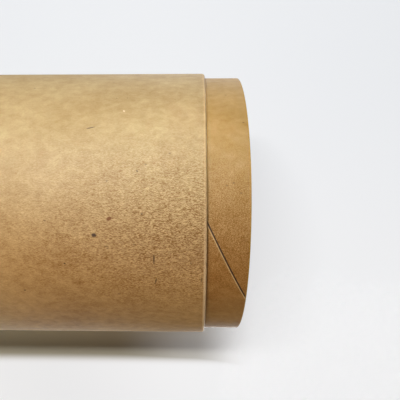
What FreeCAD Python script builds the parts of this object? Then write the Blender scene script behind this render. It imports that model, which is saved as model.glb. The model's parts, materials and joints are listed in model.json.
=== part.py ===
import FreeCAD, Part
import math
import os

# An open round paper can, standing on its base, in millimetres.
# A body tube holds a glued-in liner tube, whose top stands out of the body as the neck that a lid
# slides over. A disc closes the bottom. The back of the can has a window, cut through both tubes,
# with a clear film seated between them.
#
# Frame: the origin is the centre of the base, +Z is up along the can's axis and +Y points out
# through the window.

# ---- driving dimensions --------------------------------------------------------------------------

can_height = 150.0
neck_height = 10.4  # how far the liner stands out of the body

liner_bore = 83.0  # inner diameter of the liner
liner_wall = 1.0
body_wall = 1.3
glue_gap = 0.05  # between the body and what is glued inside it

shoulder_round = 1.1  # outer edge of the body's top
neck_bevel = 0.15  # both edges of the liner's mouth
foot_bevel = 0.5  # outer edge of the body's foot

lip_width = 1.8  # the body's foot, turned in under the base disc
lip_height = 1.6
lip_bevel = 0.3  # inner edge of the lip's underside
disc_thickness = 1.6

winding_lead = 128.0  # height that the liner's wound strip climbs in one turn
seam_width = 0.35  # gap between the strip's edges
seam_depth = 0.2
outer_seam_angle = -54.6  # where the outer seam meets the liner's mouth, in degrees from +X
inner_seam_angle = 150.0  # the same for the seam inside the liner

window_width = 36.0
window_height = 76.0
window_corner = 8.0
film_thickness = 0.25
film_margin = 7.0  # how far the film reaches past the window's edges
film_clearance = 0.1  # around the film's edges, in its recess

# ---- sizes that follow ---------------------------------------------------------------------------

liner_inner_radius = liner_bore / 2
liner_outer_radius = liner_inner_radius + liner_wall
body_inner_radius = liner_outer_radius + glue_gap
body_outer_radius = body_inner_radius + body_wall
disc_radius = body_inner_radius - glue_gap
lip_inner_radius = body_inner_radius - lip_width

shoulder_height = can_height - neck_height
liner_foot = lip_height + disc_thickness
window_centre = shoulder_height / 2

overrun = 2.0  # how far a cutting tool runs past what it cuts
most_of_wall = 0.9  # the largest share of a wall that its rounded edge takes

UP = FreeCAD.Vector(0, 0, 1)
ORIGIN = FreeCAD.Vector(0, 0, 0)


def cylinder(radius, bottom, top):
    """Upright cylinder on the can's axis, between two heights."""
    return Part.makeCylinder(radius, top - bottom, UP * bottom)


def rim(solid, radius, height):
    """The solid's round edges of this radius at this height."""
    circles = [edge for edge in solid.Edges if edge.Curve.TypeId == "Part::GeomCircle"]
    level = [edge for edge in circles if math.isclose(edge.Curve.Center.z, height, abs_tol=1e-6)]
    return [edge for edge in level if math.isclose(edge.Curve.Radius, radius, abs_tol=1e-6)]


def window_prism(growth):
    """Block with the window's outline, grown by growth all round, running out of the can along +Y."""
    half_width = window_width / 2 + growth
    half_height = window_height / 2 + growth
    depth = body_outer_radius + overrun
    corner = FreeCAD.Vector(-half_width, 0, window_centre - half_height)
    block = Part.makeBox(2 * half_width, depth, 2 * half_height, corner)
    along = [edge for edge in block.Edges if edge.BoundBox.YLength > overrun]
    return block.makeFillet(window_corner + growth, along)


def seam_cutter(wall_radius, mouth_angle):
    """Helical bar that cuts a winding seam into a wall, and meets the can's mouth at the angle."""
    start_height = liner_foot - overrun
    climb = can_height + overrun - start_height
    path = Part.makeHelix(winding_lead, climb, wall_radius)
    slope = math.atan2(winding_lead, 2 * math.pi * wall_radius)
    across = FreeCAD.Vector(0, -math.sin(slope), math.cos(slope)) * (seam_width / 2)
    low = FreeCAD.Vector(wall_radius - seam_depth, 0, 0)
    high = FreeCAD.Vector(wall_radius + seam_depth, 0, 0)
    corners = [low - across, high - across, high + across, low + across]
    section = Part.makePolygon(corners + corners[:1])
    bar = Part.Wire(path.Edges).makePipeShell([section], True, True)
    bar.rotate(ORIGIN, UP, mouth_angle - 360 * (can_height - start_height) / winding_lead)
    bar.translate(UP * start_height)
    return bar


def body_tube():
    """Body: a tube with a rounded shoulder, its foot turned in under the disc, and the window."""
    tube = cylinder(body_outer_radius, 0, shoulder_height)
    tube = tube.cut(cylinder(body_inner_radius, lip_height, shoulder_height + overrun))
    tube = tube.cut(cylinder(lip_inner_radius, -overrun, shoulder_height))
    rounding = min(shoulder_round, body_wall * most_of_wall)
    tube = tube.makeFillet(rounding, rim(tube, body_outer_radius, shoulder_height))
    tube = tube.makeChamfer(foot_bevel, rim(tube, body_outer_radius, 0))
    tube = tube.makeChamfer(lip_bevel, rim(tube, lip_inner_radius, 0))
    return tube.cut(window_prism(0))


def film_layer():
    """The layer that the film lies in, all round the liner."""
    layer = cylinder(liner_outer_radius, liner_foot, shoulder_height)
    return layer.cut(cylinder(liner_outer_radius - film_thickness, liner_foot, shoulder_height))


def liner_tube():
    """Liner: a spiral-wound tube that stands on the disc, with the window and the film's recess."""
    tube = cylinder(liner_outer_radius, liner_foot, can_height)
    tube = tube.cut(cylinder(liner_inner_radius, liner_foot - overrun, can_height + overrun))
    tube = tube.makeChamfer(neck_bevel, rim(tube, liner_outer_radius, can_height))
    tube = tube.makeChamfer(neck_bevel, rim(tube, liner_inner_radius, can_height))
    tube = tube.cut(seam_cutter(liner_outer_radius, outer_seam_angle))
    tube = tube.cut(seam_cutter(liner_inner_radius, inner_seam_angle))
    tube = tube.cut(film_layer().common(window_prism(film_margin + film_clearance)))
    return tube.cut(window_prism(0))


def window_film():
    """Film: a clear sheet, curved to the liner and seated in its recess behind the window."""
    return film_layer().common(window_prism(film_margin))


def base_disc():
    """Disc that closes the bottom, held between the body's turned-in foot and the liner."""
    return cylinder(disc_radius, lip_height, liner_foot)


def main():
    """Writes one STEP file for each piece."""
    os.makedirs("parts", exist_ok=True)
    pieces = {
        "body_tube": body_tube(),
        "liner_tube": liner_tube(),
        "base_disc": base_disc(),
        "window_film": window_film(),
    }
    for name, shape in pieces.items():
        shape.exportStep(f"parts/{name}.step")
        volume = shape.Volume / 1000
        print(f"{name}: {len(shape.Solids)} solid, valid {shape.isValid()}, {volume:.2f} cm3")


main()
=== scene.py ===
"""Dresses the windowed kraft paper can, and sets its stage, camera and lamps.

Lengths are in metres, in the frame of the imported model: the origin is the centre of the base, +Z is
up through the mouth, and +Y points out through the window. Angles round the can are counted from
its front, which faces -Y, and grow towards +X.
"""

import json
import logging
import math
from abc import ABC, abstractmethod
from collections.abc import Callable, Sequence
from dataclasses import dataclass
from enum import Enum
from itertools import pairwise

import bmesh
import bpy
from mathutils import Matrix, Vector


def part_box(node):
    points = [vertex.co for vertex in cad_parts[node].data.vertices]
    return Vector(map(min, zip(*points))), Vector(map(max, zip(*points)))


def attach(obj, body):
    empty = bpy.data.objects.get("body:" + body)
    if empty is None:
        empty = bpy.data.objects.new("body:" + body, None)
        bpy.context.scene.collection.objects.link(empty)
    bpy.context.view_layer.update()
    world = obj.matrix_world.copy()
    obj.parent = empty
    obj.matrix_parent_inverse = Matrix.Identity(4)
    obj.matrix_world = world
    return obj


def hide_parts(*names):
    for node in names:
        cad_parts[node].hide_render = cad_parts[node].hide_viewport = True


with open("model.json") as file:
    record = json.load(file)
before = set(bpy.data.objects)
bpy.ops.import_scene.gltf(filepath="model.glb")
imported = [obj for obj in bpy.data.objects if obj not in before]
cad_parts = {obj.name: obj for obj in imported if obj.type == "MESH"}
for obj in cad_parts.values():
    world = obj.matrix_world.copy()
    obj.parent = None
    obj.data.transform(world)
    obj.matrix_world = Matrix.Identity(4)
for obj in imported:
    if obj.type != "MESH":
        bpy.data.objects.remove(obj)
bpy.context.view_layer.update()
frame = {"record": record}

MM = 0.001
log = logging.getLogger("can")


# ---- sizes ----


@dataclass(frozen=True)
class CanSizes:
    """The can's sizes in metres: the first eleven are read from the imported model.

    The rest are the part's own values for gaps, edges, the film and the winding seams, with the
    seams' angles at the mouth in degrees from the front.

    Attributes:
        outer: outer radius of the body.
        shoulder: height of the body's top.
        liner: outer radius of the liner.
        bore: inner radius of the liner.
        liner_foot: height of the liner's lower end, which is the disc's upper face.
        height: height of the mouth.
        disc: radius of the base disc.
        lip: height of the body's turned-in foot, which is the disc's lower face.
        film_half_width: half the film's width.
        film_low: height of the film's lower edge.
        film_high: height of the film's upper edge.
    """

    outer: float
    shoulder: float
    liner: float
    bore: float
    liner_foot: float
    height: float
    disc: float
    lip: float
    film_half_width: float
    film_low: float
    film_high: float

    glue_gap: float = 0.05 * MM
    lip_width: float = 1.8 * MM
    shoulder_round: float = 0.7 * MM
    foot_bevel: float = 0.5 * MM
    lip_bevel: float = 0.3 * MM
    neck_bevel: float = 0.15 * MM
    film_thickness: float = 0.25 * MM
    film_margin: float = 7.0 * MM
    film_clearance: float = 0.1 * MM
    window_corner: float = 8.0 * MM
    seam_lead: float = 128.0 * MM
    seam_width: float = 0.35 * MM
    seam_depth: float = 0.2 * MM
    outer_seam_angle: float = 35.4
    inner_seam_angle: float = 240.0

    @classmethod
    def from_frame(cls) -> "CanSizes":
        """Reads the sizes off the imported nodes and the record's mouth.

        Returns:
            The sizes in metres.
        """
        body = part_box("body_tube")[1]
        liner_low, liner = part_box("liner_tube")
        disc_low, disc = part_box("base_disc")
        film_low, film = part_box("window_film")
        mouth = next(m for m in frame["record"]["mounts"] if m["name"] == "mouth")
        return cls(
            outer=body.x,
            shoulder=body.z,
            liner=liner.x,
            bore=mouth["dims"]["r_mm"] * MM,
            liner_foot=liner_low.z,
            height=liner.z,
            disc=disc.x,
            lip=disc_low.z,
            film_half_width=film.x,
            film_low=film_low.z,
            film_high=film.z,
        )

    @property
    def body_bore(self) -> float:
        """Inner radius of the body."""
        return self.liner + self.glue_gap

    @property
    def lip_bore(self) -> float:
        """Inner radius of the turned-in foot."""
        return self.body_bore - self.lip_width

    @property
    def window_middle(self) -> float:
        """Height of the window's centre."""
        return (self.film_low + self.film_high) / 2


# ---- the modelling bench ----


class Bench:
    """Modelling steps that the pieces share, each made of Blender's own operators."""

    SEGMENTS = 384
    WELD = 0.5e-6

    @staticmethod
    def choose(piece: bpy.types.Object) -> None:
        """Selects one object, and nothing else, and makes it the active one."""
        bpy.ops.object.select_all(action="DESELECT")
        piece.select_set(True)
        bpy.context.view_layer.objects.active = piece

    @classmethod
    def edit(cls, piece: bpy.types.Object) -> None:
        """Opens one object for editing with all of it selected."""
        cls.choose(piece)
        bpy.ops.object.mode_set(mode="EDIT")
        bpy.ops.mesh.select_mode(type="VERT")
        bpy.ops.mesh.select_all(action="SELECT")

    @staticmethod
    def close() -> None:
        """Leaves edit mode."""
        bpy.ops.object.mode_set(mode="OBJECT")

    @staticmethod
    def pick(piece: bpy.types.Object, kind: str, test: Callable[[object], bool]) -> None:
        """Selects the vertices, edges or faces that pass a test, and nothing else.

        Args:
            piece: the object open for editing.
            kind: VERT, EDGE or FACE.
            test: says whether an element is picked.
        """
        bpy.ops.mesh.select_mode(type=kind)
        bpy.ops.mesh.select_all(action="DESELECT")
        mesh = bmesh.from_edit_mesh(piece.data)
        for element in {"VERT": mesh.verts, "EDGE": mesh.edges, "FACE": mesh.faces}[kind]:
            if test(element):
                element.select_set(True)
        bmesh.update_edit_mesh(piece.data)

    @classmethod
    def traced(cls, name: str, corners: Sequence[tuple[float, float]]) -> bpy.types.Object:
        """Traces a closed section in the XZ plane by extruding a vertex from corner to corner.

        Args:
            name: the new object's name.
            corners: radius and height of each corner.

        Returns:
            The object, open for editing.
        """
        points = [Vector((radius, 0, height)) for radius, height in corners]
        bpy.ops.mesh.primitive_plane_add(size=cls.WELD, location=points[0])
        piece = bpy.context.object
        piece.name = piece.data.name = name
        bpy.ops.object.transform_apply(location=True, rotation=True, scale=True)
        cls.edit(piece)
        bpy.ops.mesh.merge(type="CENTER")
        for here, there in pairwise(points):
            bpy.ops.mesh.extrude_vertices_move(TRANSFORM_OT_translate={"value": there - here})
        ends = (points[0], points[-1])
        cls.pick(piece, "VERT", lambda v: any((v.co - end).length < cls.WELD for end in ends))
        bpy.ops.mesh.edge_face_add()
        return piece

    @classmethod
    def ease(
        cls, piece: bpy.types.Object, corner: tuple[float, float], reach: float, steps: int
    ) -> None:
        """Rounds or bevels one corner of a traced section.

        Args:
            piece: the section, open for editing.
            corner: the corner's radius and height.
            reach: how far the rounding reaches along each side.
            steps: 1 for a bevel, more for a round edge.
        """
        spot = Vector((corner[0], 0, corner[1]))
        cls.pick(piece, "VERT", lambda v: (v.co - spot).length < cls.WELD)
        bpy.ops.mesh.bevel(offset=reach, offset_type="OFFSET", segments=steps, affect="VERTICES")

    @classmethod
    def spun(cls, piece: bpy.types.Object) -> bpy.types.Object:
        """Spins a section once round the can's axis into a closed ring.

        Args:
            piece: the section, open for editing.

        Returns:
            The same object, closed, welded and in object mode.
        """
        bpy.ops.mesh.select_all(action="SELECT")
        turn = {"steps": cls.SEGMENTS, "angle": math.tau, "center": (0, 0, 0), "axis": (0, 0, 1)}
        bpy.ops.mesh.spin(use_auto_merge=True, **turn)
        cls.seal()
        return piece

    @classmethod
    def seal(cls) -> None:
        """Welds the mesh that is open for editing, turns its faces outwards and closes the editor."""
        bpy.ops.mesh.select_all(action="SELECT")
        bpy.ops.mesh.remove_doubles(threshold=cls.WELD)
        bpy.ops.mesh.normals_make_consistent(inside=False)
        cls.close()

    @classmethod
    def combine(cls, piece: bpy.types.Object, tool: bpy.types.Object, operation: str) -> None:
        """Cuts a tool out of a piece, or keeps what they share, and throws the tool away.

        Args:
            piece: the object that is kept.
            tool: a closed mesh.
            operation: DIFFERENCE or INTERSECT.
        """
        modifier = piece.modifiers.new("combine", "BOOLEAN")
        modifier.operation = operation
        modifier.solver = "EXACT"
        modifier.object = tool
        cls.choose(piece)
        bpy.ops.object.modifier_apply(modifier=modifier.name)
        bpy.data.objects.remove(tool)

    @classmethod
    def smooth(cls, piece: bpy.types.Object, angle: float = 30.0) -> None:
        """Shades a piece smooth, but for edges sharper than an angle in degrees."""
        cls.choose(piece)
        bpy.ops.object.shade_smooth_by_angle(angle=math.radians(angle))


@dataclass(frozen=True)
class WindowCutter:
    """The window's outline as a block with rounded corners that runs out of the can along +Y.

    Attributes:
        sizes: the can's sizes.
        growth: how much larger than the window it is, all round.
        corner_steps: how many steps round each corner.
        reach: how far it runs out, in outer radii.
    """

    sizes: CanSizes
    growth: float = 0.0
    corner_steps: int = 16
    reach: float = 1.1

    def build(self) -> bpy.types.Object:
        """Makes the block.

        Returns:
            A closed mesh.
        """
        sizes = self.sizes
        width = 2 * (sizes.film_half_width - sizes.film_margin + self.growth)
        height = sizes.film_high - sizes.film_low - 2 * (sizes.film_margin - self.growth)
        depth = sizes.outer * self.reach
        bpy.ops.mesh.primitive_cube_add(size=1, location=(0, depth / 2, sizes.window_middle))
        block = bpy.context.object
        block.scale = (width, depth, height)
        bpy.ops.object.transform_apply(location=True, rotation=True, scale=True)
        Bench.edit(block)
        Bench.pick(block, "EDGE", lambda e: abs(e.verts[0].co.y - e.verts[1].co.y) > depth / 2)
        corner = {"offset": sizes.window_corner + self.growth, "segments": self.corner_steps}
        bpy.ops.mesh.bevel(offset_type="OFFSET", affect="EDGES", **corner)
        Bench.seal()
        return block


@dataclass(frozen=True)
class SeamCutter:
    """A helical bar that cuts a winding seam into a wall.

    Attributes:
        sizes: the can's sizes.
        wall: radius of the wall that it cuts.
        mouth_angle: where the seam meets the mouth, in degrees from the front.
        overrun: how far it runs past both ends of the wall.
        step_degrees: the turn of each of its steps.
    """

    sizes: CanSizes
    wall: float
    mouth_angle: float
    overrun: float = 2 * MM
    step_degrees: float = 1.5

    def build(self) -> bpy.types.Object:
        """Sweeps the bar with a screw modifier and closes its ends.

        Returns:
            A closed mesh.
        """
        sizes = self.sizes
        low = sizes.liner_foot - self.overrun
        climb = sizes.height + self.overrun - low
        slope = math.atan2(sizes.seam_lead, math.tau * self.wall)
        half_rise = sizes.seam_width / 2 / math.cos(slope)
        inner, outer = self.wall - sizes.seam_depth, self.wall + sizes.seam_depth
        corners = [(inner, low - half_rise), (outer, low - half_rise)]
        corners += [(outer, low + half_rise), (inner, low + half_rise)]
        bar = Bench.traced("seam_cutter", corners)
        Bench.close()
        turn = math.tau * climb / sizes.seam_lead
        screw = bar.modifiers.new("sweep", "SCREW")
        screw.angle = turn
        screw.screw_offset = climb
        screw.steps = screw.render_steps = math.ceil(math.degrees(turn) / self.step_degrees)
        bpy.ops.object.modifier_apply(modifier=screw.name)
        Bench.edit(bar)
        bpy.ops.mesh.select_all(action="DESELECT")
        bpy.ops.mesh.select_non_manifold()
        bpy.ops.mesh.fill_holes(sides=0)
        Bench.seal()
        from_x = math.radians(self.mouth_angle - 90)
        from_x -= math.tau * (sizes.height - low) / sizes.seam_lead
        bar.data.transform(Matrix.Rotation(from_x, 4, "Z"))
        return bar


# ---- the pieces ----


@dataclass
class Piece(ABC):
    """One piece of the can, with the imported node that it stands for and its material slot."""

    NODE = ""
    SLOT = ""

    sizes: CanSizes

    @abstractmethod
    def model(self) -> bpy.types.Object:
        """Models the piece."""

    def build(self) -> bpy.types.Object:
        """Models the piece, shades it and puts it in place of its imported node.

        Returns:
            The finished piece.
        """
        piece = self.model()
        Bench.smooth(piece)
        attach(piece, "root")
        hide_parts(self.NODE)
        return piece


@dataclass
class Body(Piece):
    """The outer tube: a rounded shoulder, a foot turned in under the disc, and the window."""

    NODE = "body_tube"
    SLOT = "kraft_body"

    shoulder_steps: int = 10
    foot_steps: int = 4
    lip_steps: int = 3

    def model(self) -> bpy.types.Object:
        """Models the tube."""
        sizes = self.sizes
        outer, bore, lip = sizes.outer, sizes.body_bore, sizes.lip_bore
        corners = [(bore, sizes.shoulder), (outer, sizes.shoulder), (outer, 0), (lip, 0)]
        corners += [(lip, sizes.lip), (bore, sizes.lip)]
        tube = Bench.traced("kraft_body", corners)
        Bench.ease(tube, corners[1], sizes.shoulder_round, self.shoulder_steps)
        Bench.ease(tube, corners[2], sizes.foot_bevel, self.foot_steps)
        Bench.ease(tube, corners[3], sizes.lip_bevel, self.lip_steps)
        Bench.spun(tube)
        Bench.combine(tube, WindowCutter(sizes).build(), "DIFFERENCE")
        return tube


@dataclass
class Liner(Piece):
    """The inner tube: its mouth stands out as the neck, and a winding seam runs along each face."""

    NODE = "liner_tube"
    SLOT = "kraft_liner"

    mouth_steps: int = 4

    def model(self) -> bpy.types.Object:
        """Models the tube."""
        sizes = self.sizes
        corners = [(sizes.bore, sizes.liner_foot), (sizes.liner, sizes.liner_foot)]
        corners += [(sizes.liner, sizes.height), (sizes.bore, sizes.height)]
        tube = Bench.traced("kraft_liner", corners)
        Bench.ease(tube, corners[2], sizes.neck_bevel, self.mouth_steps)
        Bench.ease(tube, corners[3], sizes.neck_bevel, self.mouth_steps)
        Bench.spun(tube)
        for wall, angle in (
            (sizes.liner, sizes.outer_seam_angle),
            (sizes.bore, sizes.inner_seam_angle),
        ):
            Bench.combine(tube, SeamCutter(sizes, wall, angle).build(), "DIFFERENCE")
        recess = film_slab(sizes, sizes.film_margin + sizes.film_clearance, sizes.body_bore)
        Bench.combine(tube, recess, "DIFFERENCE")
        Bench.combine(tube, WindowCutter(sizes).build(), "DIFFERENCE")
        return tube


@dataclass
class BaseDisc(Piece):
    """The disc that closes the bottom.

    Attributes:
        edge: how far its edges are rounded.
        edge_steps: how many steps round each edge.
        upright: the least upright part of a flat face's normal.
    """

    NODE = "base_disc"
    SLOT = "kraft_board"

    edge: float = 0.1 * MM
    edge_steps: int = 2
    upright: float = 0.99

    def model(self) -> bpy.types.Object:
        """Models the disc."""
        sizes = self.sizes
        thickness = sizes.liner_foot - sizes.lip
        middle = (0, 0, sizes.lip + thickness / 2)
        size = {"vertices": Bench.SEGMENTS, "radius": sizes.disc, "depth": thickness}
        bpy.ops.mesh.primitive_cylinder_add(end_fill_type="NGON", location=middle, **size)
        disc = bpy.context.object
        disc.name = disc.data.name = "board_disc"
        bpy.ops.object.transform_apply(location=True, rotation=True, scale=True)
        Bench.edit(disc)
        Bench.pick(disc, "EDGE", lambda e: abs(e.verts[0].co.z - e.verts[1].co.z) < Bench.WELD)
        edge = {"offset": self.edge, "segments": self.edge_steps}
        bpy.ops.mesh.bevel(offset_type="OFFSET", affect="EDGES", **edge)
        Bench.pick(disc, "FACE", lambda f: abs(f.normal.z) > self.upright and len(f.verts) > 4)
        bpy.ops.mesh.inset(thickness=sizes.disc / 2)
        Bench.seal()
        return disc


@dataclass
class Film(Piece):
    """The clear sheet in the liner's recess, behind the window."""

    NODE = "window_film"
    SLOT = "clear_film"

    def model(self) -> bpy.types.Object:
        """Models the film."""
        film = film_slab(self.sizes, self.sizes.film_margin, self.sizes.liner)
        film.name = film.data.name = "clear_window"
        return film


def film_slab(sizes: CanSizes, growth: float, outer: float) -> bpy.types.Object:
    """Makes the curved slab that the film fills.

    Args:
        sizes: the can's sizes.
        growth: how far the slab reaches past the window's edges.
        outer: radius of the slab's outer face.

    Returns:
        A closed mesh.
    """
    inner = sizes.liner - sizes.film_thickness
    low, high = sizes.liner_foot, sizes.shoulder
    corners = [(inner, low), (outer, low), (outer, high), (inner, high)]
    slab = Bench.spun(Bench.traced("film_slab", corners))
    Bench.combine(slab, WindowCutter(sizes, growth).build(), "INTERSECT")
    return slab


# ---- shader maths ----


class Value:
    """What a shader works out at each point: the output socket of a node, with arithmetic."""

    def __init__(self, paint: "Paint", socket: bpy.types.NodeSocket) -> None:
        """Wraps a socket of one paint's nodes."""
        self.paint = paint
        self.socket = socket

    def __add__(self, other: "Number") -> "Value":
        """self + other."""
        return self.paint.math("ADD", self, other)

    __radd__ = __add__

    def __mul__(self, other: "Number") -> "Value":
        """self * other."""
        return self.paint.math("MULTIPLY", self, other)

    __rmul__ = __mul__

    def __sub__(self, other: "Number") -> "Value":
        """self - other."""
        return self.paint.math("SUBTRACT", self, other)

    def __rsub__(self, other: "Number") -> "Value":
        """other - self."""
        return self.paint.math("SUBTRACT", other, self)

    def __abs__(self) -> "Value":
        """abs(self)."""
        return self.paint.math("ABSOLUTE", self)


Number = Value | float
Colour = tuple[float, float, float, float]


class Paint:
    """A material, or the world, built node by node."""

    def __init__(self, owner: bpy.types.Material | bpy.types.World) -> None:
        """Clears the nodes of a new material or world."""
        self.owner = owner
        owner.use_nodes = True
        owner.node_tree.nodes.clear()

    def node(
        self,
        kind: str,
        settings: dict | None = None,
        sockets: dict | None = None,
        output: str | int = 0,
    ) -> Value:
        """Adds a node.

        Args:
            kind: the node's type.
            settings: its properties, set first.
            sockets: the value or link of each input, by name or number.
            output: which output is wanted.

        Returns:
            That output.
        """
        tree = self.owner.node_tree
        made = tree.nodes.new(kind)
        for key, setting in (settings or {}).items():
            setattr(made, key, setting)
        for key, value in (sockets or {}).items():
            if isinstance(value, Value):
                tree.links.new(value.socket, made.inputs[key])
            else:
                made.inputs[key].default_value = value
        return Value(self, made.outputs[output]) if made.outputs else Value(self, None)

    def math(self, operation: str, *terms: Number) -> Value:
        """A Math node of this operation on these terms."""
        return self.node("ShaderNodeMath", {"operation": operation}, dict(enumerate(terms)))

    def vector_math(self, operation: str, *terms: object, output: str = "Vector") -> Value:
        """A Vector Math node of this operation on these terms."""
        sockets = dict(enumerate(terms))
        return self.node("ShaderNodeVectorMath", {"operation": operation}, sockets, output)

    def place(self) -> Value:
        """The point in the can's frame, in millimetres."""
        scaled = {0: self.node("ShaderNodeTexCoord", output="Object"), "Scale": 1 / MM}
        return self.node("ShaderNodeVectorMath", {"operation": "SCALE"}, scaled)

    def parts(self, vector: Value) -> tuple[Value, Value, Value]:
        """The three parts of a vector."""
        split = self.node("ShaderNodeSeparateXYZ", None, {0: vector})
        return tuple(Value(self, socket) for socket in split.socket.node.outputs)

    def joined(self, x: Number, y: Number, z: Number = 0.0) -> Value:
        """A vector of three parts."""
        return self.node("ShaderNodeCombineXYZ", None, {0: x, 1: y, 2: z})

    def step(self, value: Value, low: float, high: float) -> Value:
        """0 below low, 1 above high, and a smooth step between. With low above high it falls."""
        sockets = {"Value": value, "From Min": low, "From Max": high}
        return self.node("ShaderNodeMapRange", {"interpolation_type": "SMOOTHSTEP"}, sockets)

    def mix(self, share: Number, first: object, second: object, blend: str = "MIX") -> Value:
        """Two colours mixed."""
        settings = {"data_type": "RGBA", "blend_type": blend}
        return self.node("ShaderNodeMix", settings, {0: share, 6: first, 7: second}, 2)

    def noise(
        self, vector: Value, size: float, detail: float = 2.0, rough: float = 0.5, bend: float = 0.0
    ) -> Value:
        """Noise from 0 to 1.

        Args:
            vector: where it is read, in millimetres.
            size: how large its coarsest blots are, in millimetres.
            detail: how many finer layers it has.
            rough: how strong the finer layers are.
            bend: how much it is distorted.

        Returns:
            The noise.
        """
        sockets = {"Vector": vector, "Scale": 1 / size, "Detail": detail}
        sockets |= {"Roughness": rough, "Distortion": bend}
        return self.node("ShaderNodeTexNoise", None, sockets)

    def stretched(self, vector: Value, *factors: float) -> Value:
        """A vector with each part multiplied by its own factor."""
        return self.vector_math("MULTIPLY", vector, Vector(factors))

    def finish(
        self, colour: object, roughness: Number, height: Value, relief: float, **fixed: float
    ) -> None:
        """Ends the material in a Principled shader.

        Args:
            colour: its base colour.
            roughness: its roughness.
            height: the surface's relief, in millimetres.
            relief: how strongly the relief shows.
            **fixed: more inputs of the shader, with underscores for spaces.
        """
        bump = {"Height": height, "Distance": MM, "Strength": relief}
        sockets = {"Base Color": colour, "Roughness": roughness}
        sockets["Normal"] = self.node("ShaderNodeBump", None, bump)
        sockets |= {key.replace("_", " "): value for key, value in fixed.items()}
        shader = self.node("ShaderNodeBsdfPrincipled", None, sockets)
        self.node("ShaderNodeOutputMaterial", None, {"Surface": shader})


def srgb(red: float, green: float, blue: float) -> Colour:
    """A linear colour from the 0 to 255 values that a screen shows."""

    def linear(value: float) -> float:
        """One channel, made linear."""
        share = value / 255
        return share / 12.92 if share <= 0.04045 else ((share + 0.055) / 1.055) ** 2.4

    return (linear(red), linear(green), linear(blue), 1.0)


# ---- finishes ----


class Tone(Enum):
    """The tones of marks in the paper, and a paler tone for the painted light on the shoulder's
    rounding.
    """

    BARK = srgb(68, 38, 2)
    RUST = srgb(116, 64, 2)
    BLEACHED = srgb(240, 222, 190)
    # A painted light tone, for the shoulder's rounding.
    CORE = srgb(242, 204, 152)


@dataclass(frozen=True)
class Fleck:
    """A fibre bundle or speck in the paper.

    Attributes:
        angle: its place round the can, in degrees from the front.
        height: its height, in millimetres.
        length: in millimetres.
        width: in millimetres.
        turn: its direction, in degrees from the can's axis towards growing angles.
        depth: how strongly it shows, up to 1.
        tone: its colour.
    """

    angle: float
    height: float
    length: float
    width: float
    turn: float = 0.0
    depth: float = 0.8
    tone: Tone = Tone.BARK


@dataclass(frozen=True)
class Site:
    """The point of the can that a finish is worked out for.

    Attributes:
        place: the point, in millimetres.
        angle: its angle round the can, in radians.
        height: its height, in millimetres.
        sizes: the can's sizes.
    """

    place: Value
    angle: Value
    height: Value
    sizes: CanSizes


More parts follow.
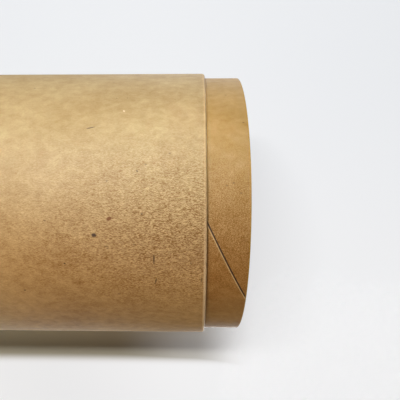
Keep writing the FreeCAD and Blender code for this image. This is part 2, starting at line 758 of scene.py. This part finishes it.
@dataclass(frozen=True)
class KraftFinish:
    """Unbleached kraft paper, whose colour runs between a deep and a pale tone.

    A pair of numbers says where something starts and where it is complete: angles in radians from
    the front, and heights and distances in millimetres.

    Attributes:
        name: the material's name.
        deep: the colour of its dark fibres.
        pale: the colour of its pale fibres.
        shade_tint: what its colour is multiplied by on the right, a painted shade that makes the
            can's shaded side deeper and warmer.
        roughness: how dull it is.
        gloss: how strongly it reflects, 0.5 for plain paper.
        grain: how strongly the fine fibres vary the colour.
        blots: how strongly blots of a millimetre or two vary it.
        clouds: how strongly clouds of several millimetres vary it.
        relief: how deep the fibres' relief is, in millimetres.
        specks: the share of places that have a scattered speck.
        lift: how much paler it is where its nap stands up.
        lay: the fibres' width over their length along the can's axis.
        nap: whether the grain stands up more in front.
        shoulder_light: how strongly the shoulder's rounding is painted paler, a painted light that is
            strongest on the shaded side.
        flecks: the larger flecks that stand out.
    """

    # The painted shade, which starts in front and stops behind, is weaker below, where painted light
    # also makes the paper paler.
    SHADE_STARTS = (-0.45, 0.5)
    SHADE_STOPS = (2.6, 1.7)
    SHADE_RISES = (60.0, 95.0)
    SHADE_BELOW = 0.35
    PAINTED_LIGHT_FALLS = (104.0, 90.0)
    PAINTED_LIGHT = 0.16

    # Blots show more where the shade is painted, and less where its nap stands up.
    BLOTS_PLAIN = 1.1
    BLOTS_SHADED = 0.7
    BLOTS_HIDDEN = 0.5

    # The fine fibres lie three ways, in degrees from the can's axis, with pale and dark ridges.
    FIBRE_SIZE = 0.18
    FIBRE_BEND = 0.4
    FIBRE_TURNS = (0.0, 29.0, -24.0)
    FIBRE_SHARE = 0.14
    MAIN_WAY = 1.4
    RIDGE_AT = 0.1
    RIDGE_EDGE = (0.13, 0.0)

    # The nap stands up in front, most of all by the shoulder, and a little behind.
    NAP_STARTS = (-0.5, 0.28)
    NAP_STOPS = (0.85, 0.2)
    NAP_RISES = (90.0, 145.0)
    NAP_GAIN = 0.85
    NAP_BELOW = 0.2
    NAP_BEHIND = (1.1, 1.8)
    NAP_BACK = 0.4
    NAP_LEAST = 0.08

    # Plain paper between deep, 0, and pale, 1.
    MIDDLE_TONE = 0.42

    # Scattered specks, the larger flecks' soft edges, and the painted light on the shoulder's
    # rounding.
    SPECK_CELLS = 0.45
    SPECK_EDGE = (0.11, 0.05)
    SPECK_DEPTH = 0.5
    FLECK_EDGE = (1.2, 0.6)
    SHOULDER_LIGHT_FROM = (-1.0, -0.3)
    SHOULDER_LIGHT_ROUND = (-0.1, 0.7)

    name: str
    deep: Colour
    pale: Colour
    shade_tint: Colour
    roughness: float
    gloss: float
    grain: float
    blots: float
    clouds: float
    relief: float
    specks: float
    lift: float = 0.0
    lay: float = 0.6
    nap: bool = False
    shoulder_light: float = 0.0
    flecks: tuple[Fleck, ...] = ()

    def paint(self, sizes: CanSizes) -> bpy.types.Material:
        """Builds the material.

        Args:
            sizes: the can's sizes.

        Returns:
            The material.
        """
        paint = Paint(bpy.data.materials.new(self.name))
        place = paint.place()
        x, y, z = paint.parts(place)
        angle = paint.math("ARCTAN2", x, y * -1.0)
        site = Site(place, angle, z, sizes)
        stands = self._nap(paint, site) if self.nap else 1.0
        # Painted shade: the paper is painted deeper and warmer on the can's shaded side, less so
        # below.
        turned = paint.step(angle, *self.SHADE_STARTS) * paint.step(angle, *self.SHADE_STOPS)
        raised = paint.step(z, *self.SHADE_RISES) * (1 - self.SHADE_BELOW) + self.SHADE_BELOW
        painted_shade = turned * raised
        # Painted light: the paper is painted paler low down on the shaded side.
        faded = turned * paint.step(z, *self.PAINTED_LIGHT_FALLS)

        main, left, right = (self._fibres(paint, place, turn) for turn in self.FIBRE_TURNS)
        fibres = (main * self.MAIN_WAY + left + right) * self.FIBRE_SHARE
        along = paint.stretched(place, 1, 1, self.lay)
        threads = paint.noise(along, size=0.6, detail=1.0, rough=0.6, bend=0.6) - 0.5
        blots = paint.noise(paint.stretched(place, 1, 1, 0.7), size=1.7, bend=0.4) - 0.5
        clouds = paint.noise(place, size=9.0) - 0.5

        fine = ((fibres + threads * 0.1) * self.grain + self.lift) * stands
        plain = painted_shade * self.BLOTS_SHADED + self.BLOTS_PLAIN - stands * self.BLOTS_HIDDEN
        broad = blots * self.blots * plain + faded * self.PAINTED_LIGHT
        pale = fine + broad + clouds * self.clouds + self.MIDDLE_TONE
        tone = paint.mix(pale, self.deep, self.pale)
        tone = paint.mix(painted_shade, tone, self.shade_tint, "MULTIPLY")
        tone = self._trimmed(paint, self._marked(paint, tone, site), site)

        height = (fibres * 0.45 + threads * 0.2 + blots * 0.25) * self.relief * stands
        roughness = threads * 0.2 + self.roughness
        paint.finish(tone, roughness, height, 1.0, Specular_IOR_Level=self.gloss)
        return paint.owner

    def _fibres(self, paint: Paint, place: Value, turn: float) -> Value:
        """Fine fibres that lie in one direction: 1 along a pale fibre, -1 along a dark one.

        Args:
            paint: the material being built.
            place: the point in millimetres.
            turn: how far they are turned from the can's axis, in degrees.

        Returns:
            The fibres.
        """
        sockets = {"Vector": place, "Angle": math.radians(turn)}
        turned = paint.node("ShaderNodeVectorRotate", {"rotation_type": "Y_AXIS"}, sockets)
        along = paint.stretched(turned, 1, 1, self.lay)
        way = paint.noise(along, self.FIBRE_SIZE, detail=0.0, bend=self.FIBRE_BEND) - 0.5
        pale = paint.step(abs(way - self.RIDGE_AT), *self.RIDGE_EDGE)
        return pale - paint.step(abs(way + self.RIDGE_AT), *self.RIDGE_EDGE)

    def _nap(self, paint: Paint, site: Site) -> Value:
        """How far the grain stands up: about 1 by the shoulder in front, and less elsewhere."""
        angle = site.angle
        turned = paint.step(angle, *self.NAP_STARTS) * paint.step(angle, *self.NAP_STOPS)
        raised = paint.step(site.height, *self.NAP_RISES) * self.NAP_GAIN + self.NAP_BELOW
        behind = paint.step(abs(angle), *self.NAP_BEHIND) * self.NAP_BACK
        return turned * raised * (1 - self.NAP_LEAST) + behind + self.NAP_LEAST

    def _marked(self, paint: Paint, tone: Value, site: Site) -> Value:
        """Adds scattered specks and the larger flecks.

        Args:
            paint: the material being built.
            tone: the colour so far.
            site: the point.

        Returns:
            The colour with its marks.
        """
        place = paint.stretched(site.place, 1, 1, 0.6)
        cells = {"Vector": place, "Scale": self.SPECK_CELLS, "Randomness": 1.0}
        near = paint.node("ShaderNodeTexVoronoi", {"feature": "F1"}, cells, "Distance")
        kind = paint.node("ShaderNodeTexVoronoi", {"feature": "F1"}, cells, "Color")
        chosen = paint.step(paint.parts(kind)[0], 1 - self.specks, 1 - self.specks + 0.05)
        speck = paint.step(near, *self.SPECK_EDGE) * chosen * self.SPECK_DEPTH
        tone = paint.mix(speck, tone, Tone.BARK.value)
        radius = site.sizes.outer / MM
        sheet = paint.joined(site.height, site.angle * radius)
        ragged = paint.noise(site.place, size=0.5, detail=1.0) * 0.8 - 0.4
        for fleck in self.flecks:
            spot = {
                "Vector": sheet,
                "Location": (fleck.height, math.radians(fleck.angle) * radius, 0),
                "Rotation": (0, 0, math.radians(fleck.turn)),
                "Scale": (fleck.length / 2, fleck.width / 2, 1),
            }
            local = paint.node("ShaderNodeMapping", {"vector_type": "TEXTURE"}, spot)
            off = paint.vector_math("LENGTH", local, output="Value") + ragged
            shown = paint.step(off, *self.FLECK_EDGE) * fleck.depth
            tone = paint.mix(shown, tone, fleck.tone.value)
        return tone

    def _trimmed(self, paint: Paint, tone: Value, site: Site) -> Value:
        """Adds painted light on the shoulder's rounding, strongest on the shaded side, on the same
        terms as _marked.
        """
        # Painted light: the shoulder's rounding is painted paler, more on the shaded side.
        shoulder_lit = paint.step(site.height - site.sizes.shoulder / MM, *self.SHOULDER_LIGHT_FROM)
        lower = paint.step(site.angle, *self.SHOULDER_LIGHT_ROUND) * 0.7 + 0.3
        return paint.mix(shoulder_lit * lower * self.shoulder_light, tone, Tone.CORE.value)


@dataclass(frozen=True)
class WoundFinish(KraftFinish):
    """Kraft paper wound in a spiral strip, with a gap between the strip's edges.

    Attributes:
        gap: the colour down in the gap, of glue and painted shade, which also paints the shade along
            the joint.
        edge_highlight: the colour of a painted highlight along the strip's raised edge, beside the
            gap.
        rim: the colour of the mouth's edge.
        joint_light: the colour of painted light along the joint on the left, which lifts the shade
            there.
    """

    # Widths beside a seam, heights over the shoulder or under the mouth, angles, and strengths.
    # The painted highlight beside a seam.
    HIGHLIGHT_WIDTH = 0.15
    HIGHLIGHT_SOFT = 0.08
    HIGHLIGHT_DEPTH = 0.6
    GAP_SOFT = 0.06
    WALL_SOFT = 0.1
    # Painted light along the joint.
    JOINT_LIGHT_ABOVE = (0.32, 0.05)
    JOINT_LIGHT_ROUND = (0.25, -0.25)
    JOINT_LIGHT_DEPTH = 0.85
    # Painted shade along the joint.
    JOINT_ABOVE = (0.5, 0.05)
    JOINT_ROUND = (-0.2, 0.4)
    JOINT_DEPTH = 0.22
    RIM_FROM = (-0.3, -0.15)
    RIM_DEPTH = 0.7

    gap: Colour = srgb(62, 38, 22)
    edge_highlight: Colour = srgb(222, 188, 132)
    rim: Colour = srgb(168, 132, 30)
    joint_light: Colour = srgb(243, 196, 112)

    def _trimmed(self, paint: Paint, tone: Value, site: Site) -> Value:
        """Adds the seams' gaps, with glue colour and painted shade, and painted highlights beside
        them; painted light and painted shade along the joint; and the mouth's edge.
        """
        sizes, angle, height = site.sizes, site.angle, site.height
        x, y, _ = paint.parts(site.place)
        out = paint.vector_math("LENGTH", paint.joined(x, y), output="Value")
        middle = (sizes.liner + sizes.bore) / 2 / MM
        outside = paint.step(out, middle - self.WALL_SOFT, middle + self.WALL_SOFT)
        inside = 1.0 - outside
        half = sizes.seam_width / 2 / MM
        for wall, mouth_angle, side in (
            (sizes.liner, sizes.outer_seam_angle, outside),
            (sizes.bore, sizes.inner_seam_angle, inside),
        ):
            turn = math.tau * MM / sizes.seam_lead
            off = angle - (height - sizes.height / MM) * turn - math.radians(mouth_angle)
            across = wall / MM / math.hypot(1.0, turn * wall / MM)
            away = abs(paint.math("SINE", off * 0.5)) * (2 * across)
            past = paint.math("SINE", off) * across
            # Painted highlight along the strip's raised edge, beside the gap.
            edge = paint.step(past, half, half + self.HIGHLIGHT_SOFT) * side
            edge = edge * paint.step(away, half + 2 * self.HIGHLIGHT_WIDTH, half + self.HIGHLIGHT_WIDTH)
            tone = paint.mix(edge * self.HIGHLIGHT_DEPTH, tone, self.edge_highlight)
            # Painted shade down in the gap, in glue colour.
            deep = paint.step(away, half + self.GAP_SOFT, half - self.GAP_SOFT) * side
            tone = paint.mix(deep, tone, self.gap)
        above = height - sizes.shoulder / MM
        # Painted light along the joint on the left, lifting its shade.
        joint_light = paint.step(above, *self.JOINT_LIGHT_ABOVE) * paint.step(angle, *self.JOINT_LIGHT_ROUND) * outside
        tone = paint.mix(joint_light * self.JOINT_LIGHT_DEPTH, tone, self.joint_light)
        # Painted shade along the joint, on the lower, shaded side.
        joint = paint.step(above, *self.JOINT_ABOVE) * paint.step(angle, *self.JOINT_ROUND)
        tone = paint.mix(joint * outside * self.JOINT_DEPTH, tone, self.gap)
        rim = paint.step(height - sizes.height / MM, *self.RIM_FROM)
        return paint.mix(rim * self.RIM_DEPTH, tone, self.rim)


BODY_FLECKS = (
    Fleck(10.0, 113.1, 1.2, 1.0, depth=1.0),
    Fleck(10.1, 111.7, 0.8, 0.5, depth=0.6, tone=Tone.RUST),
    Fleck(4.9, 116.7, 1.7, 0.85, -21, 1.0, Tone.RUST),
    Fleck(3.6, 117.7, 0.9, 0.5, -51, 0.35, Tone.RUST),
    Fleck(7.5, 111.5, 1.4, 0.45, -33, 0.35, Tone.RUST),
    Fleck(-24.6, 111.2, 2.4, 0.36, -16, 0.75),
    Fleck(17.8, 127.0, 2.7, 0.42, 92, 0.8),
    Fleck(19.1, 135.8, 1.0, 0.45, 90, 0.45),
    Fleck(25.9, 127.2, 2.2, 0.42, 105, 0.7),
    Fleck(25.4, 138.4, 1.6, 0.4, 90, 0.5),
    Fleck(3.4, 124.4, 0.55, 0.45, depth=0.7),
    Fleck(-6.6, 116.2, 0.6, 0.45, depth=0.5),
    Fleck(-9.7, 123.2, 0.6, 0.35, 60, 0.8),
    Fleck(-16.0, 104.6, 0.6, 0.4, depth=0.4, tone=Tone.RUST),
    Fleck(-38.5, 119.1, 0.6, 0.45, 80, 0.35),
    Fleck(19.5, 105.5, 0.5, 0.4, depth=0.9),
    Fleck(30.1, 94.1, 0.7, 0.5, depth=0.6),
    Fleck(31.6, 117.7, 0.7, 0.5, depth=0.55),
    Fleck(13.6, 116.0, 1.3, 0.32, 4, 0.45),
    Fleck(12.9, 122.4, 0.7, 0.45, 10, 0.4),
    Fleck(-31.7, 118.8, 0.7, 0.5, 60, 0.6, Tone.BLEACHED),
)

BODY_PAPER = KraftFinish(
    name="rough_kraft",
    deep=srgb(129, 89, 3),
    pale=srgb(209, 189, 142),
    # Painted shade on the can's shaded side.
    shade_tint=(0.89, 0.64, 0.41, 1.0),
    roughness=0.58,
    gloss=0.5,
    grain=2.6,
    blots=0.4,
    clouds=0.33,
    lift=0.11,
    relief=0.28,
    specks=0.3,
    lay=0.23,
    nap=True,
    # Painted light on the shoulder's rounding.
    shoulder_light=0.9,
    flecks=BODY_FLECKS,
)

LINER_PAPER = WoundFinish(
    name="smooth_kraft",
    deep=srgb(135, 96, 8),
    pale=srgb(194, 164, 112),
    # Painted shade on the can's shaded side.
    shade_tint=(0.78, 0.55, 0.35, 1.0),
    roughness=0.55,
    gloss=0.38,
    grain=2.2,
    blots=0.5,
    clouds=0.4,
    relief=0.12,
    specks=0.12,
    nap=True,
    flecks=(Fleck(-6.3, 145.8, 0.55, 0.4, depth=0.5), Fleck(-5.5, 144.2, 0.5, 0.4, depth=0.45)),
)

BOARD = KraftFinish(
    name="plain_board",
    deep=srgb(138, 98, 50),
    pale=srgb(198, 166, 112),
    shade_tint=(1.0, 1.0, 1.0, 1.0),
    roughness=0.75,
    gloss=0.5,
    grain=0.6,
    blots=0.5,
    clouds=0.3,
    relief=0.25,
    specks=0.3,
)


@dataclass(frozen=True)
class ClearFilm:
    """Clear glossy plastic film.

    Attributes:
        name: the material's name.
        tint: its own faint colour, under the gloss.
        cover: how much it hides of what is behind it.
        roughness: how dull it is at its clearest.
        haze: how much duller it is in places.
        ripple: how high its ripples are, in millimetres.
    """

    name: str = "clear_film"
    tint: Colour = (0.1, 0.105, 0.11, 1.0)
    cover: float = 0.13
    roughness: float = 0.05
    haze: float = 0.04
    ripple: float = 0.15

    def paint(self) -> bpy.types.Material:
        """Builds the material.

        Returns:
            The material.
        """
        paint = Paint(bpy.data.materials.new(self.name))
        place = paint.place()
        waves = paint.noise(paint.stretched(place, 1, 1, 0.5), size=14.0, detail=1.0)
        roughness = paint.noise(place, size=3.0) * self.haze + self.roughness
        shine = {"IOR": 1.5, "Specular_IOR_Level": 1.0, "Coat_Weight": 1.0, "Coat_Roughness": 0.04}
        paint.finish(self.tint, roughness, waves * self.ripple, 0.3, Alpha=self.cover, **shine)
        return paint.owner


# ---- stage, camera and lamps ----


class Pale(Enum):
    """The pale tones of the stage, and the two darker tones of the painted shadow on the card."""

    FLOOR = srgb(236, 237, 238)
    COOL = srgb(238, 240, 243)
    WARM = srgb(248, 248, 249)
    DIM = srgb(239, 239, 240)
    # Painted shadow tones for the card's strip beside the can.
    SHADE = srgb(196, 194, 180)
    DUSK = srgb(162, 157, 141)
    SKY = srgb(235, 237, 239)


@dataclass
class Stage:
    """A pale floor under the can, a pale card behind it, and a pale sky.

    A pair of numbers says where something starts and where it is complete, in millimetres.

    Attributes:
        sizes: the can's sizes.
        floor_radius: the floor's radius.
        floor_clear: how far from the can the floor starts to fade.
        floor_end: how far from the can it has faded out.
        card_clear: how far from the shoulder the card starts to fade.
        card_end: the card's radius, at which it has faded out.
        card_white: how much of the card's light is its own.
        sky_light: the strength of the soft even light.
    """

    SIDES = 96

    # Where the card turns warmer, and the strip of it beside the can that lies in the can's shadow
    # and is painted darker too, a painted shadow.
    CARD_ACROSS = (-90.0, 90.0)
    CARD_UP = (60.0, 140.0)
    STRIP_NEAR = (40.0, 20.0)
    STRIP_FAR = (75.8, 82.0)
    STRIP_DEEP_SHADE = (64.0, 73.0)
    STRIP_THINS = (95.0, 145.0)
    STRIP_ENDS = (136.0, 168.0)

    sizes: CanSizes
    floor_radius: float = 0.9
    floor_clear: float = 0.25
    floor_end: float = 0.81
    card_clear: float = 0.165
    card_end: float = 0.24
    card_white: float = 0.75
    sky_light: float = 0.167

    def build(self) -> None:
        """Makes the floor, the card and the sky."""
        self._floor()
        self._card()
        self._sky()

    def _disc(self, name: str, radius: float) -> bpy.types.Object:
        """Adds a round flat sheet at the origin."""
        bpy.ops.mesh.primitive_circle_add(vertices=self.SIDES, radius=radius, fill_type="NGON")
        sheet = bpy.context.object
        sheet.name = sheet.data.name = name
        return sheet

    def _fade(
        self, paint: Paint, surface: Value, centre: Vector, clear: float, end: float
    ) -> bpy.types.Material:
        """Makes a surface fade out with distance from a centre, and shows nothing of it from behind.

        Args:
            paint: the material being built.
            surface: its shader so far.
            centre: where it shows in full.
            clear: how far from the centre it starts to fade, in metres.
            end: how far from the centre it has faded out, in metres.

        Returns:
            The material.
        """
        point = paint.node("ShaderNodeTexCoord", output="Object")
        away = paint.vector_math("DISTANCE", point, centre, output="Value")
        behind = paint.node("ShaderNodeNewGeometry", output="Backfacing")
        gone = paint.math("MAXIMUM", paint.step(away, clear, end), behind)
        nothing = paint.node("ShaderNodeBsdfTransparent")
        both = paint.node("ShaderNodeMixShader", None, {0: gone, 1: surface, 2: nothing})
        paint.node("ShaderNodeOutputMaterial", None, {"Surface": both})
        return paint.owner

    def _floor(self) -> None:
        """The floor that the can stands on."""
        floor = self._disc("floor", self.floor_radius)
        paint = Paint(bpy.data.materials.new("floor_pale"))
        dull = paint.node("ShaderNodeBsdfDiffuse", None, {"Color": Pale.FLOOR.value})
        faded = self._fade(paint, dull, Vector((0, 0, 0)), self.floor_clear, self.floor_end)
        floor.data.materials.append(faded)
        floor.visible_diffuse = False

    def _card(self) -> None:
        """The card behind the can, which only the camera sees, and only from the front.

        It is whitest clear of the can, and plain beside it, where the can's shadow falls and a
        painted shadow darkens its colour.
        """
        sizes = self.sizes
        card = self._disc("card", self.card_end)
        middle = Vector((0, sizes.outer, sizes.shoulder))
        card.data.transform(Matrix.Translation(middle) @ Matrix.Rotation(math.radians(90), 4, "X"))
        paint = Paint(bpy.data.materials.new("card_pale"))
        x, _, z = paint.parts(paint.place())
        warm = paint.mix(paint.step(z, *self.CARD_UP), Pale.DIM.value, Pale.WARM.value)
        colour = paint.mix(paint.step(x, *self.CARD_ACROSS), Pale.COOL.value, warm)
        beside = paint.step(x, *self.STRIP_FAR) + paint.step(x, *self.STRIP_NEAR)
        beyond = paint.step(z, *self.STRIP_THINS) * 0.25 + paint.step(z, *self.STRIP_ENDS) * 0.75
        clear = paint.math("MAXIMUM", beside, beyond)
        # Painted shadow: the strip beside the can is painted darker, darkest towards its far edge.
        shade = paint.mix(paint.step(x, *self.STRIP_DEEP_SHADE), Pale.SHADE.value, Pale.DUSK.value)
        dull = paint.node("ShaderNodeBsdfDiffuse", None, {"Color": paint.mix(clear, shade, colour)})
        white = paint.node("ShaderNodeEmission", None, {"Color": colour})
        both = {0: clear * self.card_white, 1: dull, 2: white}
        surface = paint.node("ShaderNodeMixShader", None, both)
        faded = self._fade(paint, surface, middle, self.card_clear, self.card_end)
        card.data.materials.append(faded)
        for ray in ("diffuse", "glossy", "transmission", "shadow"):
            setattr(card, f"visible_{ray}", False)

    def _sky(self) -> None:
        """A pale sky for the camera, and a soft even light for the rest."""
        world = bpy.data.worlds.new("sky")
        bpy.context.scene.world = world
        paint = Paint(world)
        camera = paint.node("ShaderNodeLightPath", output="Is Camera Ray")
        light = paint.node("ShaderNodeBackground", None, {"Strength": self.sky_light})
        seen = paint.node("ShaderNodeBackground", None, {"Color": Pale.SKY.value})
        both = paint.node("ShaderNodeMixShader", None, {0: camera, 1: light, 2: seen})
        paint.node("ShaderNodeOutputWorld", None, {"Surface": both})


@dataclass
class Camera:
    """A camera in front of the can, turned on its side so that the mouth is to the right.

    Attributes:
        sizes: the can's sizes.
        distance: from the can's axis, in outer radii.
        below_shoulder: how far the camera is under the body's top, in outer radii.
        focal: focal length in millimetres.
        sensor: width of the sensor in millimetres.
        clip: the nearest and the farthest that it sees, in metres.
        yaw: how far it turns towards the mouth, in degrees.
        roll: its last small turn about its own line of sight, in degrees.
        shift: how far the view is shifted to the right and up, in picture widths.
    """

    sizes: CanSizes
    distance: float = 2.7
    below_shoulder: float = 0.068
    focal: float = 29.12
    sensor: float = 36.0
    clip: tuple[float, float] = (0.005, 20.0)
    yaw: float = -1.05
    roll: float = -0.13
    shift: tuple[float, float] = (0.0285, 0.007)

    def build(self) -> None:
        """Makes the camera and gives it to the scene."""
        lens = bpy.data.cameras.new("camera")
        lens.lens = self.focal
        lens.sensor_width = self.sensor
        lens.shift_x, lens.shift_y = self.shift
        lens.clip_start, lens.clip_end = self.clip
        camera = bpy.data.objects.new("camera", lens)
        bpy.context.scene.collection.objects.link(camera)
        sizes = self.sizes
        rise = sizes.shoulder - self.below_shoulder * sizes.outer
        stand = Vector((0, -self.distance * sizes.outer, rise))
        right, up, back = Vector((0, 0, 1)), Vector((-1, 0, 0)), Vector((0, -1, 0))
        level = Matrix((right, up, back)).transposed()
        rolled = Matrix.Rotation(math.radians(self.roll), 3, "Z")
        turn = rolled @ Matrix.Rotation(math.radians(self.yaw), 3, "Y")
        camera.matrix_world = Matrix.Translation(stand) @ (level @ turn.transposed()).to_4x4()
        bpy.context.scene.camera = camera


@dataclass(frozen=True)
class Lamp:
    """A soft area lamp that looks at the can's axis, near the shoulder.

    Attributes:
        name: its name.
        angle: where it stands round the can, in degrees from the front.
        rise: how far its centre is above the shoulder, in metres.
        distance: from the can's axis, in metres.
        width: its size round the can, in metres.
        length: its size along the can's axis, in metres.
        power: in watts.
        colour: its colour.
        spread: how wide its light fans out, in degrees.
        aside: how far it is moved sideways, towards growing angles, in metres.
    """

    name: str
    angle: float
    rise: float
    distance: float
    width: float
    length: float
    power: float
    colour: tuple[float, float, float] = (1.0, 1.0, 1.0)
    spread: float = 180.0
    aside: float = 0.0

    def build(self, sizes: CanSizes) -> None:
        """Hangs the lamp.

        Args:
            sizes: the can's sizes.
        """
        light = bpy.data.lights.new(self.name, "AREA")
        light.shape = "RECTANGLE"
        light.size, light.size_y = self.width, self.length
        light.energy = self.power
        light.color = self.colour
        light.spread = math.radians(self.spread)
        lamp = bpy.data.objects.new(self.name, light)
        bpy.context.scene.collection.objects.link(lamp)
        lamp.visible_camera = False
        turn = math.radians(self.angle)
        out = Vector((math.sin(turn), -math.cos(turn), 0))
        side = Vector((math.cos(turn), math.sin(turn), 0))
        aim = Vector((0, 0, sizes.shoulder)) + side * self.aside
        stand = aim + out * self.distance + Vector((0, 0, self.rise))
        back = (stand - aim).normalized()
        across = Vector((0, 0, 1)).cross(back).normalized()
        along = back.cross(across)
        turned = Matrix((across, along, back)).transposed().to_4x4()
        lamp.matrix_world = Matrix.Translation(stand) @ turned


LAMPS = (
    Lamp("key", -27.6, 0.08, 0.7, 0.035, 0.6, 0.78),
    Lamp("near", -21.0, -0.137, 0.3, 0.015, 0.235, 1.95),
    Lamp("beam_low", -35, 0.0, 0.7, 0.006, 0.5, 0.0041, (0.82, 0.96, 1.0), 2.4, 0.0155),
    Lamp("beam_middle", -50, 0.0, 0.7, 0.006, 0.5, 0.007, (0.97, 0.99, 1.0), 3.4, 0.0178),
    Lamp("top", -110, 0.0, 0.7, 0.2, 0.9, 1.35),
    Lamp("top_rear", -135, 0.0, 0.7, 0.3, 0.9, 1.45),
    Lamp("bounce", 122, -0.08, 0.13, 0.1, 0.16, 0.06, (1.0, 0.88, 0.66)),
    Lamp("side", 112, 0.11, 0.7, 0.17, 0.5, 0.69, (1.0, 0.67, 0.21)),
    Lamp("under", 140, 0.17, 0.7, 0.17, 0.38, 0.6),
    Lamp("rear", 154, 0.17, 0.7, 0.17, 0.38, 3.6),
    Lamp("back", 180, 0.1, 0.9, 0.8, 0.8, 3.0),
)


def main() -> None:
    """Builds the can, its stage, camera and lamps, and reports each piece."""
    logging.basicConfig(level=logging.INFO, format="%(message)s")
    sizes = CanSizes.from_frame()
    Camera(sizes).build()
    pieces = [kind(sizes).build() for kind in (Body, Liner, BaseDisc, Film)]
    papers = [finish.paint(sizes) for finish in (BODY_PAPER, LINER_PAPER, BOARD)]
    for piece, material in zip(pieces, [*papers, ClearFilm().paint()], strict=True):
        piece.data.materials.clear()
        piece.data.materials.append(material)
        log.info("%s: %d faces in %s", piece.name, len(piece.data.polygons), material.name)
    Stage(sizes).build()
    for lamp in LAMPS:
        lamp.build(sizes)
    bpy.context.scene.view_settings.view_transform = "Standard"
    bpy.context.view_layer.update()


if __name__ == "__main__":
    main()
